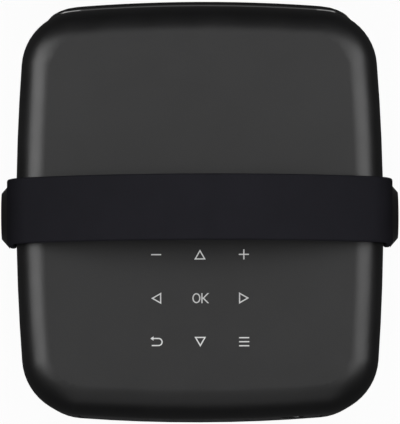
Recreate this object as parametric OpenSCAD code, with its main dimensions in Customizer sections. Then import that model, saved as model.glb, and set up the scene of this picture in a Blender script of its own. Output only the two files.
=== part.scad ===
// Portable video projector: a rounded box with touch keys and a carrying strap on top.
// Millimetres, +Z up, the lens looks towards -Y.
// The origin is on the table, under the middle of the body.

/* [Body] */
// Width between the middles of the two crowned sides
body_w = 183.5; // [178:0.5:196]
// Depth between the middles of the crowned front and rear
body_d = 207; // [203:1:222]
// Height without the feet
body_h = 128; // [124:1:142]
// Radius of the slow crown of each side
side_crown_r = 1000; // [600:10:1400]
// Radius of the slow crown of the front and the rear
end_crown_r = 800; // [600:10:1400]
// Radius of the four upright corners
corner_r = 29; // [25:0.5:32]
// Radius of the rounded edge round the top
top_edge_r = 15; // [10:0.5:18]
// Radius of the rounded edge round the underside
base_edge_r = 8; // [5:0.5:10]
// Thickness of the covers
wall = 2.5; // [2.2:0.1:2.8]
// Height of the seam between the covers above the underside
seam_h = 40; // [36:1:42]
// Width of the two chamfers that make the groove at the seam
seam_groove = 0.4; // [0.2:0.1:0.6]
// Thickness of the tongue that lines up the covers
tongue_t = 1.2; // [1:0.1:1.5]
// Height of the tongue above the seam
tongue_h = 3; // [2:0.5:4]

/* [Fits] */
// Gap between pieces that stand beside each other
fit_gap = 0.25; // [0.2:0.05:0.3]
// Radial clearance of a turning or sliding fit
run_gap = 0.05; // [0.03:0.01:0.08]

/* [Front] */
// Width of the bezel along the curve of the front
bezel_w = 157; // [150:1:158]
// Height of the bezel
bezel_h = 92; // [86:1:94]
// Corner radius of the bezel
bezel_r = 22; // [16:1:30]
// How far the bezel stands out from the body
bezel_proud = 3; // [2.4:0.1:3]
// Height of the straight ledge round the bezel
bezel_ledge = 1.4; // [0.8:0.1:1.4]
// Width of the sloping border of the bezel
bezel_slope = 4; // [2:0.5:5]
// Height of the optical axis above the underside
axis_h = 62; // [60:0.5:64]
// Radius of the lens window
window_r = 30; // [28:0.5:31]
// Thickness of the lens window
window_t = 2; // [1.5:0.1:2.2]
// Width of the trim ring round the lens window
trim_w = 4; // [3:0.5:5]
// Distance of each sensor window from the optical axis
sensor_x = 46; // [43:0.5:50]
// Radius of a sensor window
sensor_r = 4; // [3:0.5:5]

/* [Rear] */
// Width of the rear panel along the curve of the rear
panel_w = 124; // [122:1:128]
// Height of the rear panel
panel_h = 92; // [90:1:94]
// Corner radius of the rear panel
panel_r = 12; // [8:1:16]
// Height of the middle of the rear panel above the underside
panel_mid_h = 58; // [57:0.5:59]
// Height of one exhaust slot
slot_h = 2.6; // [2:0.1:3]
// Distance between exhaust slots
slot_pitch = 5; // [4.5:0.1:5.2]
// Radius of the power button
button_r = 6; // [5:0.5:6.5]
// Travel of the power button
button_travel = 0.8; // [0.5:0.1:1]
// Height of the power button above the underside
button_h = 90; // [84:1:91]

/* [Sides] */
// Distance of the speaker grilles behind the middle of the sides
grille_s = 48; // [47:0.5:50]
// Width of a speaker grille
grille_w = 44; // [40:1:44]
// Height of a speaker grille
grille_h = 56; // [50:1:58]
// Corner radius of a speaker grille
grille_r = 8; // [5:1:12]
// Height of the middle of a speaker grille above the underside
grille_mid_h = 76; // [75:1:80]
// Radius of a grille hole
grille_hole_r = 1; // [0.7:0.1:1.3]
// Distance between grille holes
grille_pitch = 4; // [3.6:0.1:4.6]
// Radius of a speaker
speaker_r = 22; // [18:0.5:22.5]

/* [Handle] */
// Width of the strap
strap_w = 32.6; // [28:0.1:34]
// Thickness of the strap
strap_t = 3.5; // [3:0.1:4.5]
// Radius of the strap's rounded edges
strap_edge_r = 1.2; // [0.8:0.1:1.4]
// Finger room between the top of the body and the middle of the strap
strap_rise = 32; // [29:0.5:36]
// Inner radius of the strap's arch over the top
strap_arch_r = 150; // [146:1:240]
// Inner radius of the strap's two bends
strap_bend_r = 20; // [16:1:24]
// Gap between the sides of the body and the strap
strap_side_gap = 1; // [0.9:0.1:1.6]
// Height of the handle's pivots above the underside
pivot_h = 80; // [76:1:86]
// Radius of the shoulder that the handle turns on
pivot_r = 4; // [3.5:0.1:4.5]
// Radius of the flat face of a pivot cap
cap_face_r = 11.7; // [10:0.1:13]
// Height of a pivot cap
cap_h = 4; // [3:0.1:4.5]

/* [Keys] */
// Distance between key columns
key_pitch_x = 21.8; // [19:0.1:24]
// Distance between key rows
key_pitch_y = 21.7; // [19:0.1:24]
// Distance of the middle key row behind the middle of the body
key_y = 43.6; // [40:0.1:46]
// Width of a straight mark
mark_w = 5; // [4:0.1:5.6]
// Width of the lines of the marks
mark_line = 0.6; // [0.5:0.05:0.8]
// Depth of the marks in the top
mark_depth = 0.6; // [0.4:0.1:1]

/* [Base] */
// Height of the feet below the underside
foot_h = 4; // [3:0.5:6]
// Radius of a foot
foot_r = 9; // [7:0.5:10]
// Distance of feet and case screws in from the outermost sides
post_inset = 25.5; // [25:0.5:27]
// Radius of the bore in the tripod insert
tripod_r = 2.6; // [2.5:0.05:2.8]
// Distance of the tripod insert in front of the middle
tripod_y = 20; // [10:1:26]
// Width of the square air intake
intake_w = 60; // [56:1:61]
// Distance of the air intake behind the middle
intake_y = 38; // [37:0.5:39]

/* [Optics] */
// Depth of the body in front of the light engine
lens_room = 63.5; // [62:0.5:65]
// Radius of the sliding lens barrel
barrel_r = 23; // [21:0.5:23.5]
// Distance from the front of the body to the lens barrel
barrel_setback = 10.5; // [10:0.5:12]
// Width of the light engine
engine_w = 106; // [100:1:108]
// Height of the light engine
engine_h = 74; // [70:1:75]
// Length of the light engine
engine_len = 76; // [74:1:78]
// Thickness of the walls of the light engine
engine_wall = 3; // [2:0.5:3.5]
// Radius of the condenser lens
condenser_r = 27; // [24:0.5:28]

/* [Focus drive] */
// Size of the gear teeth, as pitch diameter per tooth
gear_module = 0.8; // [0.78:0.01:0.82]
// Number of teeth that the whole focus ring would have
ring_teeth = 76; // [76:2:78]
// Number of teeth of the pinion
pinion_teeth = 14; // [14:1:16]
// Direction from the optical axis to the focus motor
motor_angle = 40; // [34:1:50]
// Radius of the focus motor
motor_r = 7.5; // [6:0.1:7.6]

/* [Cooling] */
// Width of the fans
fan_w = 64; // [63:0.5:65]
// Depth of the exhaust fan
exhaust_t = 15; // [12:0.5:16]
// Depth of the intake fan
intake_t = 12; // [10:0.5:14]
// Number of fan blades
blades = 7; // [5:1:9]
// Number of heat sink fins
fins = 15; // [11:2:17]

/* [Hidden] */
$fn = 64;
half_w = body_w / 2;
half_d = body_d / 2;
base_z = foot_h;
floor_z = base_z + wall;
top_z = base_z + body_h;
roof_z = top_z - wall;
seam_z = base_z + seam_h;
axis_z = base_z + axis_h;
edge_z = top_z - top_edge_r;
under_z = base_z + base_edge_r;
tongue_out = wall + fit_gap;
tongue_in = tongue_out + tongue_t;

// The outline is eight tangent arcs: four slow crowns joined by four corners.
side_c = [half_w - side_crown_r, 0];
end_c = [0, half_d - end_crown_r];
side_reach = side_crown_r - corner_r;
end_reach = end_crown_r - corner_r;
between = end_c - side_c;
span = norm(between);
along = (side_reach ^ 2 - end_reach ^ 2 + span ^ 2) / (2 * span);
across = sqrt(side_reach ^ 2 - along ^ 2);
corner_c = side_c + (along * between + across * [-between.y, between.x]) / span;
side_a = atan2(corner_c.y, corner_c.x - side_c.x);
end_a = atan2(corner_c.x, corner_c.y - end_c.y);

// Angles of the outline's normals, with the corners divided finely
function steps(from, to, n) = [for (i = [0:n - 1]) from + (to - from) * i / n];
quarter = concat(steps(0, side_a, 4), steps(side_a, 90 - end_a, 12), steps(90 - end_a, 90, 4), [90]);
last_step = len(quarter) - 1;
round_angles = concat(
    [for (i = [0:last_step - 1]) quarter[i]],
    [for (i = [0:last_step - 1]) 180 - quarter[last_step - i]],
    [for (i = [0:last_step - 1]) 180 + quarter[i]],
    [for (i = [0:last_step - 1]) 360 - quarter[last_step - i]]);

// Point of the outline whose normal has the angle t, moved inwards by d
function folded(t) = abs(asin(sin(t)));
function arc_centre(t) = t < side_a ? side_c : t > 90 - end_a ? end_c : corner_c;
function arc_radius(t) = t < side_a ? side_crown_r : t > 90 - end_a ? end_crown_r : corner_r;
function first_quarter(t, d) = arc_centre(t) + (arc_radius(t) - d) * [cos(t), sin(t)];
function skin(t, d) = let (p = first_quarter(folded(t), d)) [sign(cos(t)) * p.x, sign(sin(t)) * p.y];

// Rear and side faces at a distance from the middle line, moved inwards by d
function rear_at(x, d) = end_c.y + sqrt((end_crown_r - d) ^ 2 - x ^ 2);
function front_at(x, d) = -rear_at(x, d);
function side_at(y, d) = side_c.x + sqrt((side_crown_r - d) ^ 2 - y ^ 2);

// Ring of the outline at a depth and a height, and the rounded edge as depths and heights
function ring(d, z) = [for (t = round_angles) concat(skin(t, d), z)];
function edge_arc(centre_d, centre_z, r, from, to, n) =
    [for (i = [0:n]) let (t = from + (to - from) * i / n) [centre_d - r * cos(t), centre_z + r * sin(t)]];

// Solid through rings of the outline, closed flat at both ends
module ring_solid(profile) {
    n = len(round_angles);
    last = len(profile) - 1;
    polyhedron(
        points = [for (p = profile) each ring(p.x, p.y)],
        faces = concat(
            [[for (i = [0:n - 1]) i]],
            [for (k = [0:last - 1], i = [0:n - 1])
                [k * n + i, (k + 1) * n + i, (k + 1) * n + (i + 1) % n, k * n + (i + 1) % n]],
            [[for (i = [n - 1:-1:0]) last * n + i]]));
}

// Angle turned when going the distance s along a face from its middle
function crown_of(face) = abs(sin(face)) > 0.5 ? end_crown_r : side_crown_r;
function crown_a(face) = abs(sin(face)) > 0.5 ? end_a : side_a;
function degrees_of(arc, radius) = arc / radius * 180 / PI;
function turn(face, s) =
    let (crown = crown_of(face), a = crown_a(face), reach = crown * a * PI / 180)
    abs(s) <= reach ? degrees_of(s, crown) : sign(s) * (a + degrees_of(abs(s) - reach, corner_r));

// Upper half of a rounded rectangle, from left to right
corner_steps = 6;
span_steps = 12;
function upper_edge(w, h, r) = concat(
    [for (i = [0:corner_steps]) let (t = 90 * i / corner_steps)
        [r - w / 2 - r * cos(t), h / 2 - r + r * sin(t)]],
    [for (i = [1:span_steps - 1]) [(w / 2 - r) * (2 * i / span_steps - 1), h / 2]],
    [for (i = [corner_steps:-1:0]) let (t = 90 * i / corner_steps)
        [w / 2 - r + r * cos(t), h / 2 - r + r * sin(t)]]);
function on_face(face, s, z, d) = concat(skin(face + turn(face, s), d), z);
function pane_loop(face, s, z, edge, d) = concat(
    [for (p = edge) on_face(face, s + p.x, z + p.y, d)],
    [for (i = [len(edge) - 1:-1:0]) on_face(face, s + edge[i].x, z - edge[i].y, d)]);

// Solid through loops whose second half mirrors the first, closed by strips between the halves
module looped_solid(loops) {
    n = len(loops[0]);
    last = len(loops) - 1;
    strips = n / 2 - 2;
    polyhedron(
        points = [for (loop = loops) each loop],
        faces = concat(
            [for (i = [0:strips]) [n - 1 - i, n - 2 - i, i + 1, i]],
            [for (k = [0:last - 1], i = [0:n - 1])
                [k * n + i, k * n + (i + 1) % n, (k + 1) * n + (i + 1) % n, (k + 1) * n + i]],
            [for (i = [0:strips])
                [last * n + i, last * n + i + 1, last * n + n - 2 - i, last * n + n - 1 - i]]));
}

// Rounded rectangle lying in a curved face.
// Each layer is an inset of its edge and a depth, from back to front.
// Layers that run back first, with a larger inset, make a hollow behind the face.
module pane(face, s, z, w, h, r, layers) looped_solid([for (layer = layers)
    pane_loop(face, s, z, upper_edge(w - 2 * layer.x, h - 2 * layer.x, r - layer.x), layer.y)]);

// How far a cut runs past a face, and a width too small to see
past = 1;
hair = 0.01;

// Small helpers
module round_rect(w, h, r) {
    square([w, h - 2 * r], center = true);
    square([w - 2 * r, h], center = true);
    for (x = [-1, 1], y = [-1, 1]) translate([x * (w / 2 - r), y * (h / 2 - r)]) circle(r);
}
module slot(w, h) round_rect(w, h, min(w, h) / 2 - hair);
module block(size) translate([-size.x / 2, -size.y / 2, 0]) cube(size);
module along_y() rotate([-90, 0, 0]) children();
module both_sides() for (side = [0, 1]) mirror([side, 0, 0]) children();
module four_corners(x, y) for (i = [-1, 1], j = [-1, 1]) translate([i * x, j * y, 0]) children();
module tube(outer, inner, h) difference() {
    cylinder(r = outer, h = h);
    translate([0, 0, -past]) cylinder(r = inner, h = h + 2 * past);
}

// Colours
plastic = [0.2, 0.2, 0.21];
gloss = [0.06, 0.06, 0.06];
rubber = [0.13, 0.13, 0.15];
inner_plastic = [0.12, 0.12, 0.13];
metal = [0.7, 0.71, 0.73];
brass = [0.78, 0.64, 0.35];
copper = [0.75, 0.5, 0.35];
glass = [0.75, 0.82, 0.85];
lamp_yellow = [0.95, 0.85, 0.4];
board_green = [0.08, 0.3, 0.18];
light_grey = [0.92, 0.92, 0.92];

// Openings in the covers
opening_in = tongue_in + past;
panel_z = base_z + panel_mid_h;
grille_z = base_z + grille_mid_h;
flange_w = 2.5;
bezel_seat = 4;
module front_opening()
    pane(-90, 0, axis_z, bezel_w, bezel_h, bezel_r, [[bezel_seat, opening_in], [bezel_seat, -past]]);
module rear_opening()
    pane(90, 0, panel_z, panel_w, panel_h, panel_r, [[0, opening_in], [0, -past]]);
module rear_flange_room() {
    room = -flange_w - fit_gap;
    pane(90, 0, panel_z, panel_w, panel_h, panel_r, [[room, opening_in], [room, wall + fit_gap / 2]]);
}
module grille_opening()
    pane(0, grille_s, grille_z, grille_w, grille_h, grille_r, [[0, wall + past], [0, -past]]);

// Key marks, drawn as the user reads them from behind the projector
arrow_w = mark_w * 1.15;
arrow_h = mark_w;
menu_pitch = mark_w * 0.4;
module bar(w) square([w, mark_line], center = true);
module minus_mark() bar(mark_w);
module plus_mark() {
    bar(mark_w);
    rotate(90) bar(mark_w);
}
module menu_mark() for (i = [-1:1]) translate([0, i * menu_pitch]) bar(mark_w);
module arrow_mark(angle) {
    outer = [[-arrow_w / 2, 0], [arrow_w / 2, 0], [0, arrow_h]];
    inner_r = arrow_w * arrow_h / (arrow_w + 2 * norm([arrow_w / 2, arrow_h]));
    middle = [0, inner_r];
    shrink = 1 - mark_line / inner_r;
    rotate(angle) translate([0, -arrow_h / 2]) difference() {
        polygon(outer);
        polygon([for (p = outer) middle + shrink * (p - middle)]);
    }
}
module back_mark() {
    bend_r = mark_w * 0.35;
    bend_x = mark_w * 0.22;
    tip_x = -mark_w * 0.58;
    head = [0.3, 0.22] * mark_w;
    translate([bend_x, 0]) difference() {
        circle(bend_r + mark_line / 2);
        circle(bend_r - mark_line / 2);
        translate([-2 * mark_w, -mark_w]) square(2 * mark_w);
    }
    for (y = [-bend_r, bend_r]) translate([tip_x + mark_line, y - mark_line / 2])
        square([bend_x - tip_x - mark_line, mark_line]);
    translate([tip_x, bend_r]) polygon([[0, 0], head, [head.x, -head.y]]);
}
function oval(rx, ry) = [for (a = [0:9:351]) [rx * cos(a), ry * sin(a)]];
module ok_mark() {
    half_h = mark_w / 2;
    oval_r = mark_w * 0.4;
    oval_x = -mark_w * 0.37;
    stem_x = mark_w * 0.12;
    arm = mark_w * 0.54;
    slant = 1.4 * mark_line;
    translate([oval_x, 0]) difference() {
        polygon(oval(oval_r, half_h));
        polygon(oval(oval_r - mark_line, half_h - mark_line));
    }
    translate([stem_x, -half_h]) square([mark_line, mark_w]);
    for (side = [-1, 1]) translate([stem_x + mark_line / 2, 0]) polygon([
        [0, -side * mark_line / 2], [arm, side * half_h], [arm + slant, side * half_h],
        [slant, -side * mark_line / 2]]);
}
module key(column, row) translate([column * key_pitch_x, row * key_pitch_y]) children();
module marks() translate([0, key_y]) rotate(180) {
    key(-1, 1) minus_mark();
    key(0, 1) arrow_mark(0);
    key(1, 1) plus_mark();
    key(-1, 0) arrow_mark(90);
    key(0, 0) ok_mark();
    key(1, 0) arrow_mark(-90);
    key(-1, -1) back_mark();
    key(0, -1) arrow_mark(180);
    key(1, -1) menu_mark();
}
module key_legends() color(light_grey)
    translate([0, 0, top_z - mark_depth]) linear_extrude(mark_depth) marks();
board_t = 1.6;
touch_margin = 11;
module touch_board() color(board_green) translate([0, key_y, roof_z - board_t])
    block([2 * (key_pitch_x + touch_margin), 2 * (key_pitch_y + touch_margin), board_t]);

// Screws and the posts that take them
post_x = half_w - post_inset;
post_y = half_d - post_inset;
post_r = 4.5;
boss_wall = 1.5;
post_foot_z = floor_z + 13.5;
screw_r = 1.5;
screw_head_r = 3;
screw_head_h = 2.6;
screw_len = 24;
foot_seat = 0.8;
head_seat_z = base_z + foot_seat + screw_head_h + fit_gap;
module at_posts(z) four_corners(post_x, post_y) translate([0, 0, z]) children();

// Handle axis
pivot_z = base_z + pivot_h;
module pivot_at(x) translate([x, 0, pivot_z]) rotate([0, 90, 0]) children();

// Top cover
module top_shell() ring_solid(concat(
    edge_arc(top_edge_r, edge_z, top_edge_r - wall, 90, 0, 5),
    [[wall, seam_z], [seam_groove, seam_z], [0, seam_z + seam_groove]],
    edge_arc(top_edge_r, edge_z, top_edge_r, 0, 90, 8)));
module top_cover() color(plastic) difference() {
    union() {
        top_shell();
        at_posts(post_foot_z) cylinder(r = post_r, h = roof_z + wall / 2 - post_foot_z);
    }
    front_opening();
    rear_opening();
    both_sides() {
        grille_opening();
        pivot_at(half_w - wall - 2 * past) cylinder(r = pivot_r + fit_gap, h = wall + 4 * past);
    }
    at_posts(post_foot_z - past) cylinder(r = screw_r + run_gap, h = screw_len);
    translate([0, 0, top_z - mark_depth]) linear_extrude(mark_depth + past) marks();
}

// Bottom cover with the posts that carry the pieces inside
engine_front = lens_room - half_d;
engine_back = engine_front + engine_len;
engine_low = axis_z - engine_h / 2;
engine_post_x = engine_w / 2 + 4;
engine_post_y = [6, engine_len - 10];
engine_post_r = 4;
engine_hole = 10;
// Room between the boards, the posts, the walls and their neighbours
post_room = 10;
front_room = 12;
engine_room = 8;
inlet_room = 36;
fan_side_room = 4;
rear_room = 7.5;
power_lift = 5;
socket_lift = 9.9;
power_z = floor_z + power_lift;
power_w = 2 * (post_x - post_room);
power_front = front_room - half_d;
power_back = engine_front - engine_room;
socket_z = floor_z + socket_lift;
socket_board_x = [post_room - post_x, post_x - inlet_room];
socket_board_y = [intake_y + fan_w / 2 + fan_side_room, half_d - rear_room];
standoff_r = 3;
standoff_in = 4;
insert_r = 6;
insert_h = 12;
insert_wall = 3;
intake_r = 4;
slots_each_way = 5;
slot_short = 10;
door_t = 1.2;
door_w = intake_w + 8;
door_r = intake_r + 2;
module floor_post(x, y, r, to_z)
    translate([x, y, floor_z - wall / 2]) cylinder(r = r, h = to_z - floor_z + wall / 2);
module engine_posts(z) for (x = [-1, 1] * engine_post_x, y = engine_post_y)
    translate([x, engine_front + y, z]) children();
module bottom_posts() {
    four_corners(post_x, post_y) floor_post(0, 0, post_r + boss_wall, post_foot_z);
    engine_posts(0) floor_post(0, 0, engine_post_r, engine_low);
    for (x = [-1, 1] * (power_w / 2 - standoff_in))
        for (y = [power_front + standoff_in, power_back - standoff_in])
            floor_post(x, y, standoff_r, power_z);
    for (x = socket_board_x + [standoff_in, -standoff_in])
        floor_post(x, socket_board_y.x + standoff_in, standoff_r, socket_z);
    floor_post(0, -tripod_y, insert_r + insert_wall, base_z + insert_h);
}
module bottom_shell() ring_solid(concat(
    edge_arc(base_edge_r, under_z, base_edge_r, -90, 0, 6),
    [[0, seam_z - seam_groove], [seam_groove, seam_z], [tongue_out, seam_z],
     [tongue_out, seam_z + tongue_h], [tongue_in, seam_z + tongue_h],
     [tongue_in, seam_z - tongue_h], [wall, seam_z - tongue_h - tongue_t]],
    edge_arc(base_edge_r, under_z, base_edge_r - wall, 0, -90, 4)));
module foot_holes() {
    at_posts(base_z - past) cylinder(r = foot_r + fit_gap, h = foot_seat + past);
    at_posts(base_z) cylinder(r = screw_head_r + fit_gap, h = head_seat_z - base_z);
    at_posts(base_z) cylinder(r = screw_r + fit_gap, h = post_foot_z);
}
module intake_holes() translate([0, intake_y, base_z - past]) {
    linear_extrude(wall + 2 * past) round_rect(intake_w, intake_w, intake_r);
    linear_extrude(door_t + past) round_rect(door_w, door_w, door_r);
}
module bottom_cover() color(plastic) difference() {
    union() {
        bottom_shell();
        bottom_posts();
    }
    front_opening();
    rear_opening();
    rear_flange_room();
    foot_holes();
    engine_posts(engine_low - engine_hole) cylinder(r = screw_r + run_gap, h = engine_hole + past);
    translate([0, -tripod_y, base_z - past]) cylinder(r = insert_r + run_gap, h = insert_h + 2 * past);
    intake_holes();
}
module case_screws() color(metal) {
    at_posts(head_seat_z - screw_head_h) cylinder(r = screw_head_r, h = screw_head_h);
    at_posts(head_seat_z - past) cylinder(r = screw_r, h = screw_len);
}
foot_round = 1;
module rubber_feet() color(rubber) at_posts(0) rotate_extrude() polygon([
    [0, 0], [foot_r - 1.5 * foot_round, 0], [foot_r - foot_round / 2, foot_round], [foot_r, foot_h],
    [foot_r, foot_h + foot_seat], [0, foot_h + foot_seat]]);
module tripod_insert() color(brass)
    translate([0, -tripod_y, base_z]) tube(insert_r, tripod_r, insert_h);
module intake_slots() for (i = [-slots_each_way:slots_each_way])
    translate([i * slot_pitch, 0]) slot(slot_h, intake_w - slot_short);
module intake_grille() color(plastic) translate([0, intake_y, base_z]) linear_extrude(door_t) difference() {
    round_rect(door_w - 2 * fit_gap, door_w - 2 * fit_gap, door_r - fit_gap);
    intake_slots();
}
module dust_filter() color(rubber) translate([0, intake_y, base_z + door_t])
    linear_extrude(wall - door_t) round_rect(intake_w - 2 * fit_gap, intake_w - 2 * fit_gap, intake_r);

// Front bezel with the lens window and the sensors
bezel_front = -half_d - bezel_proud;
bezel_skin = 1;
bezel_depth = 5;
bezel_rim = 3;
bezel_round = 0.4;
window_recess = 3.3;
trim_r = window_r + trim_w;
trim_h = window_recess - 0.1;
trim_chamfer = 0.5;
trim_lip = 1;
window_front = bezel_front + window_recess;
lip_r = window_r - 2;
sensor_recess = 0.6;
sensor_t = 2;
sensor_lip = 1;
sensor_gap = 0.6;
sensor_box = [12, 12, 8];
module front_disc(y, r, depth) translate([0, y, axis_z]) along_y() cylinder(r = r, h = depth);
module bezel_plate(layers) pane(-90, 0, axis_z, bezel_w, bezel_h, bezel_r, layers);
module at_sensors(depth) for (x = [-1, 1] * sensor_x)
    translate([x, front_at(x, -bezel_proud) + depth, axis_z]) along_y() children();
module bezel_body() {
    plug = bezel_seat + fit_gap;
    hollow = bezel_seat + bezel_rim;
    bezel_plate([
        [hollow, bezel_skin], [hollow, bezel_depth], [plug, bezel_depth], [plug, -fit_gap],
        [0, -fit_gap], [0, -bezel_ledge], [bezel_round, -bezel_ledge - bezel_round],
        [bezel_slope - bezel_round, -bezel_proud + bezel_round / 2], [bezel_slope, -bezel_proud]]);
    front_disc(window_front, trim_r + bezel_rim, bezel_depth - half_d - window_front);
}
module front_bezel() color(gloss) difference() {
    bezel_body();
    front_disc(bezel_front - past, trim_r + fit_gap, window_recess + past);
    front_disc(bezel_front, window_r + fit_gap, window_recess + window_t);
    front_disc(bezel_front, lip_r, bezel_depth + bezel_proud + past);
    at_sensors(-past) cylinder(r = sensor_r + run_gap, h = sensor_recess + sensor_t + past);
    at_sensors(0) cylinder(r = sensor_r - sensor_lip, h = bezel_proud + bezel_depth);
}
module lens_window() color(glass) front_disc(window_front, window_r, window_t);
module lens_trim() color(gloss) translate([0, window_front, axis_z]) rotate([90, 0, 0]) rotate_extrude()
    polygon([
        [window_r - trim_lip, 0], [trim_r, 0], [trim_r, trim_h - trim_chamfer],
        [trim_r - trim_chamfer, trim_h], [trim_r - 3 * trim_chamfer, trim_h],
        [window_r - trim_lip, trim_lip]]);
module sensor_windows() color(gloss) at_sensors(sensor_recess) cylinder(r = sensor_r, h = sensor_t);
module sensor_modules() color(board_green)
    at_sensors(bezel_proud + bezel_skin + sensor_gap) block(sensor_box);

// Rear panel with its sockets
panel_face = 0.4;
panel_t = 2;
panel_back = panel_face + panel_t;
panel_rim = 4;
flange_t = 1.5;
flange_back = wall + fit_gap + flange_t;
nose_d = 1;
socket_top = socket_z + board_t;
socket_back = 1.5;
hdmi = [15, 12, 6];
hdmi_x = [-46, -28];
hdmi_mouth = [14, 4.6];
usb = [14, 14, 7];
usb_x = [-10, 7];
usb_mouth = [12.6, 5.2];
jack = [8, 13, 7];
jack_x = 21;
jack_r = 1.8;
jack_bore = 11;
inlet = [22, 13, 17];
inlet_x = 45;
inlet_z = socket_top + inlet.z / 2;
inlet_nose = [20, 11];
inlet_mouth = [16.4, 8.2];
inlet_depth = 12;
inlet_pin_r = 1.2;
inlet_pin_x = 4.3;
button_x = -46;
button_z = base_z + button_h;
button_proud = 1;
button_chamfer = 0.5;
button_face = rear_at(button_x, panel_face) + button_proud;
button_flange_r = button_r + 1;
button_flange_t = 1.4;
button_flange_y = rear_at(button_x, panel_back) - 0.8;
button_back = button_flange_y - button_flange_t;
switch_y = button_back - button_travel - fit_gap;
switch_h = 3.5;
switch_w = 6;
switch_board_y = switch_y - switch_h;
switch_board_h = 10;
plunger_r = 1.7;
plunger_h = 1.5;
switch_post_r = 2;
switch_post_x = button_flange_r + switch_post_r + 0.5;
light_z = button_z - 14;
light_r = 1.2;
light_flange_r = 2.2;
light_len = 6;
fan_z = axis_z + 4;
fan_room = 6.5;
fan_hole_in = 4;
exhaust_back = half_d - fan_room;
exhaust_front = exhaust_back - exhaust_t;
module panel_plate(layers) pane(90, 0, panel_z, panel_w, panel_h, panel_r, layers);
module at_exhaust() translate([0, exhaust_back, fan_z]) rotate([90, 0, 0]) children();
module fan_corners() four_corners(fan_w / 2 - fan_hole_in, fan_w / 2 - fan_hole_in) children();
module behind_button(y, z) translate([button_x, y, z]) along_y() children();
// Hole in the panel for a socket whose nose is w wide and h high
module port(x, z, w, h) {
    size = [w + 2 * fit_gap, 2 * fan_room, h + 2 * fit_gap];
    translate([x, half_d - fan_room, z]) translate(-[size.x / 2, size.y / 2, size.z / 2]) cube(size);
}
module exhaust_slots() at_exhaust() translate([0, 0, -fan_room - past]) linear_extrude(fan_room + 2 * past)
    for (i = [-slots_each_way:slots_each_way])
        translate([0, i * slot_pitch]) slot(fan_w - slot_short, slot_h);
module switch_posts() for (x = [-1, 1] * switch_post_x)
    translate([x, 0, 0]) behind_button(switch_board_y, button_z)
        cylinder(r = switch_post_r, h = rear_at(button_x + x, panel_back) + panel_t / 2 - switch_board_y);
module fan_posts() at_exhaust() fan_corners() mirror([0, 0, 1])
    cylinder(r = standoff_r, h = fan_room - panel_back + panel_t / 2);
module rear_panel() color(inner_plastic) difference() {
    union() {
        panel_plate([
            [panel_rim, panel_back], [panel_rim, flange_back],
            [-flange_w, flange_back], [-flange_w, wall + fit_gap], [fit_gap, wall + fit_gap],
            [fit_gap, 2 * panel_face], [fit_gap + panel_face, panel_face]]);
        fan_posts();
        switch_posts();
    }
    exhaust_slots();
    for (x = hdmi_x) port(x, socket_top + hdmi.z / 2, hdmi.x, hdmi.z);
    for (x = usb_x) port(x, socket_top + usb.z / 2, usb.x, usb.z);
    port(jack_x, socket_top + jack.z / 2, jack.x, jack.z);
    port(inlet_x, inlet_z, inlet_nose.x, inlet_nose.y);
    behind_button(button_flange_y, button_z) cylinder(r = button_r + run_gap, h = fan_room);
    behind_button(button_flange_y, light_z) cylinder(r = light_r + run_gap, h = fan_room);
}
module socket(x, size, mouth) translate([x, rear_at(x, nose_d) - size.y, socket_top]) difference() {
    translate([-size.x / 2, 0, 0]) cube(size);
    translate([-mouth.x / 2, socket_back, (size.z - mouth.y) / 2]) cube([mouth.x, size.y, mouth.y]);
}
module hdmi_sockets() color(metal) for (x = hdmi_x) socket(x, hdmi, hdmi_mouth);
module usb_sockets() color(metal) for (x = usb_x) socket(x, usb, usb_mouth);
module audio_socket() color(inner_plastic) difference() {
    translate([jack_x - jack.x / 2, rear_at(jack_x, nose_d) - jack.y, socket_top]) cube(jack);
    translate([jack_x, rear_at(jack_x, nose_d) - jack_bore, socket_top + jack.z / 2]) along_y()
        cylinder(r = jack_r, h = jack_bore + past);
}
module mains_inlet() color(gloss) translate([inlet_x, 0, inlet_z]) {
    mouth_y = rear_at(inlet_x, nose_d);
    shoulder_y = rear_at(inlet_x + inlet.x / 2, flange_back) - fit_gap;
    difference() {
        union() {
            translate([-inlet.x / 2, shoulder_y - inlet.y, -inlet.z / 2]) cube(inlet);
            translate([-inlet_nose.x / 2, shoulder_y - past, -inlet_nose.y / 2])
                cube([inlet_nose.x, mouth_y - shoulder_y + past, inlet_nose.y]);
        }
        translate([0, mouth_y - inlet_depth, 0]) along_y() linear_extrude(inlet_depth + past)
            slot(inlet_mouth.x, inlet_mouth.y);
    }
    for (x = [-1, 1] * inlet_pin_x) translate([x, mouth_y - inlet_depth - past, 0]) along_y()
        cylinder(r = inlet_pin_r, h = inlet_depth - past);
}
module socket_board() color(board_green) translate([socket_board_x.x, socket_board_y.x, socket_z])
    cube([socket_board_x.y - socket_board_x.x, socket_board_y.y - socket_board_y.x, board_t]);
module power_button() color(gloss) {
    stem = button_face - button_back - button_chamfer;
    behind_button(button_back, button_z) {
        cylinder(r = button_r, h = stem);
        cylinder(r = button_flange_r, h = button_flange_t);
        translate([0, 0, stem]) cylinder(r1 = button_r, r2 = button_r - button_chamfer, h = button_chamfer);
    }
}
module button_switch() color(board_green) {
    board_w = 2 * (switch_post_x + switch_post_r);
    behind_button(switch_board_y - board_t, button_z) block([board_w, switch_board_h, board_t]);
    behind_button(switch_board_y, button_z) block([switch_w, switch_w, switch_h - plunger_h / 2]);
    behind_button(switch_y - plunger_h, button_z) cylinder(r = plunger_r, h = plunger_h);
}
module status_light() color(light_grey)
    behind_button(rear_at(button_x, panel_face) - light_len, light_z) {
        cylinder(r = light_r, h = light_len);
        cylinder(r = light_flange_r, h = light_len - panel_t - fit_gap);
    }

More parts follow.
